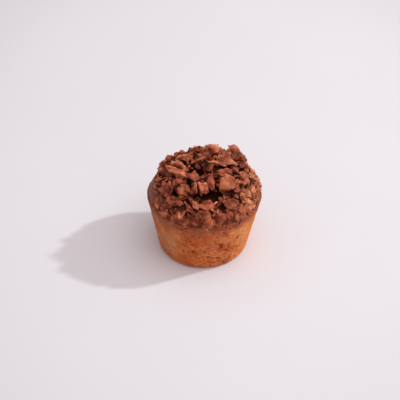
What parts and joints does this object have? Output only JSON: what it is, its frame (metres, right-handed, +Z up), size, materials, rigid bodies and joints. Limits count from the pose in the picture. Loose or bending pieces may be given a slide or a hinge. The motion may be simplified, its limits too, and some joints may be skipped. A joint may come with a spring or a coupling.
{
  "type": "cup-shaped cake topped with chocolate-coated wafer flakes",
  "caption": "Small round tapered cake with a domed top under a layer of milk chocolate, heaped with crisp chocolate-coated wafer flakes; stands on its flat foot.",
  "frame": {"origin": "middle of the flat foot that the cake stands on", "axes": "+Z up through the middle of the cake; -Y is the front, the side that the picture shows; +X is to the right of it"},
  "size_m": [0.0592, 0.0588, 0.0557],
  "materials": {
    "baked_crust": null,
    "milk_chocolate": "satin set milk chocolate",
    "coated_flakes": "satin milk chocolate over crisp wafer flakes"
  },
  "bodies": {
    "root": {"cake": "baked_crust", "chocolate_layer": "milk_chocolate", "flake_heap": "coated_flakes"}
  },
  "joints": []
}
